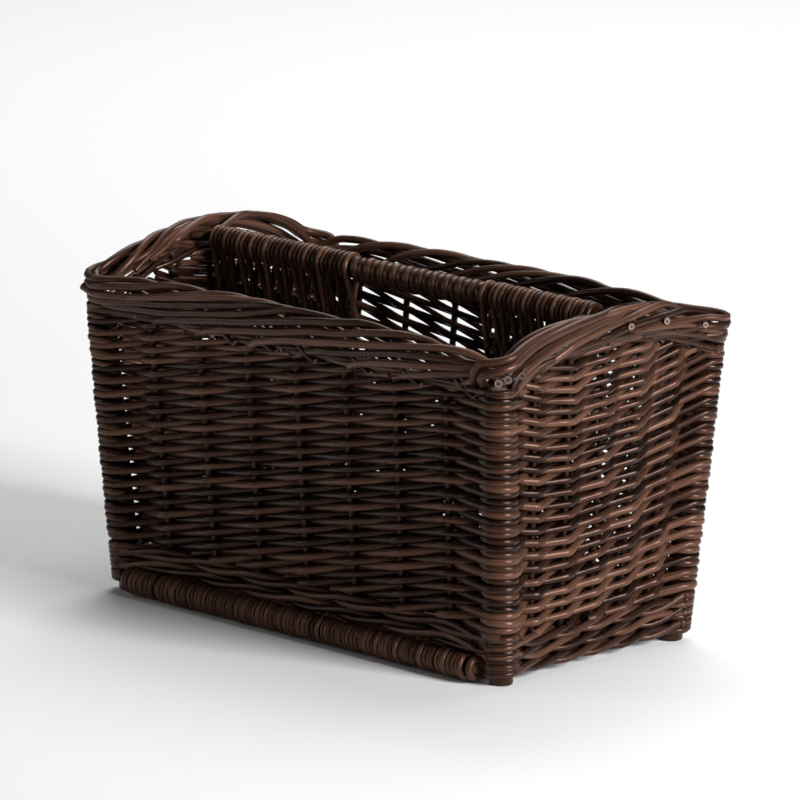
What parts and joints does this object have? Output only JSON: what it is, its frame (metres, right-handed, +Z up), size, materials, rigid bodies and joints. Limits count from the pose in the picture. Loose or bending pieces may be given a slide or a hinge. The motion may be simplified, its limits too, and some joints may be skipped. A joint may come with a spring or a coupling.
{
  "type": "magazine basket",
  "caption": "Flared willow magazine basket with arched ends, a rod border, a lengthwise woven divider with a wrapped carrying handle, and corner posts that stand as feet.",
  "frame": {"origin": "on the floor under the middle of the basket, level with the flat ends of the four corner posts", "axes": "+X along the basket from one arched end to the other, +Z up, the front long side at -Y"},
  "size_m": [0.4154, 0.2448, 0.2663],
  "materials": {
    "corner_posts": "dark stained willow, satin",
    "wall_weave": "dark stained peeled willow rods, satin sheen",
    "border": "dark stained thick willow rods, satin sheen, pale cut ends",
    "base_weave": "dark stained thin willow rods wound closely, satin",
    "divider_weave": "dark stained thin willow rods, satin",
    "handle": "dark stained willow strands wound over a bar, a little glossier from use",
    "stakes_and_sticks": "dark stained willow sticks, satin"
  },
  "bodies": {
    "root": {"corner_post_front_left": "corner_posts", "corner_wrap_front_left": "wall_weave", "corner_post_front_right": "corner_posts", "corner_wrap_front_right": "wall_weave", "corner_post_back_right": "corner_posts", "corner_wrap_back_right": "wall_weave", "corner_post_back_left": "corner_posts", "corner_wrap_back_left": "wall_weave", "front_wall_weave": "wall_weave", "front_wale": "wall_weave", "front_border": "border", "front_stake_1": "stakes_and_sticks", "front_stake_2": "stakes_and_sticks", "front_stake_3": "stakes_and_sticks", "front_stake_4": "stakes_and_sticks", "front_stake_5": "stakes_and_sticks", "front_stake_6": "stakes_and_sticks", "front_stake_7": "stakes_and_sticks", "right_wall_weave": "wall_weave", "right_wale": "wall_weave", "right_border": "border", "right_stake_1": "stakes_and_sticks", "right_stake_2": "stakes_and_sticks", "right_stake_3": "stakes_and_sticks", "right_stake_4": "stakes_and_sticks", "right_stake_5": "stakes_and_sticks", "back_wall_weave": "wall_weave", "back_wale": "wall_weave", "back_border": "border", "back_stake_1": "stakes_and_sticks", "back_stake_2": "stakes_and_sticks", "back_stake_3": "stakes_and_sticks", "back_stake_4": "stakes_and_sticks", "back_stake_5": "stakes_and_sticks", "back_stake_6": "stakes_and_sticks", "back_stake_7": "stakes_and_sticks", "left_wall_weave": "wall_weave", "left_wale": "wall_weave", "left_border": "border", "left_stake_1": "stakes_and_sticks", "left_stake_2": "stakes_and_sticks", "left_stake_3": "stakes_and_sticks", "left_stake_4": "stakes_and_sticks", "left_stake_5": "stakes_and_sticks", "base_weave": "base_weave", "base_edge_stick_front": "stakes_and_sticks", "base_edge_stick_back": "stakes_and_sticks", "base_stick_1": "stakes_and_sticks", "base_stick_2": "stakes_and_sticks", "base_stick_3": "stakes_and_sticks", "handle_bar": "handle", "handle_grip_wrap": "handle", "divider_weave_left": "divider_weave", "divider_weave_middle": "divider_weave", "divider_weave_right": "divider_weave", "divider_side_stick_left": "stakes_and_sticks", "divider_side_stick_right": "stakes_and_sticks", "divider_stick_1": "stakes_and_sticks", "divider_stick_2": "stakes_and_sticks", "divider_stick_3": "stakes_and_sticks"}
  },
  "joints": []
}
